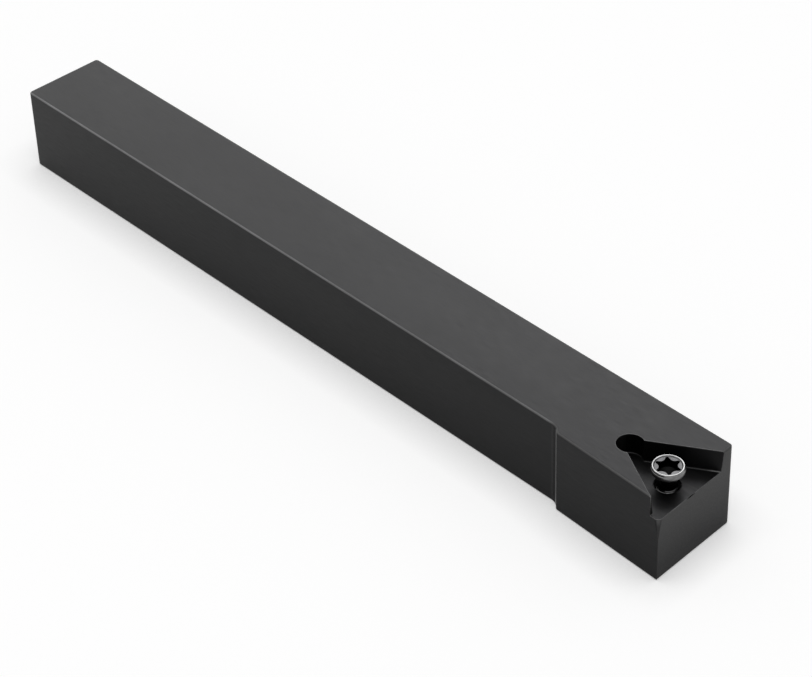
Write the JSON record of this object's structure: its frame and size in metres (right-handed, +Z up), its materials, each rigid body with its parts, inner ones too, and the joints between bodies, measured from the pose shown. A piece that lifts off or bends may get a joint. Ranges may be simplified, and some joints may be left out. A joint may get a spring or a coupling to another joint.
{
  "type": "turning tool holder",
  "caption": "Left-hand square-shank lathe tool holder with an offset head, an open three-cornered insert seat and its clamping screw.",
  "frame": {"origin": "middle of the shank's base face across its width, half way between the back end and the cutting nose of a fitted insert", "axes": "+X along the shank towards the cutting end, +Z up out of the seat, +Y towards the side away from the cutting nose"},
  "size_m": [0.0995, 0.0112, 0.01],
  "materials": {
    "black_oxide_steel": "satin",
    "screw_steel": "gloss"
  },
  "bodies": {
    "holder": {"holder_body": "black_oxide_steel"},
    "screw": {"insert_screw": "screw_steel"}
  },
  "joints": [
    {"name": "screw_travel", "type": "slide", "parent": "holder", "child": "screw", "axis": [0, 0, 1], "range_m": [-0.00135, 0.0045]}
  ]
}
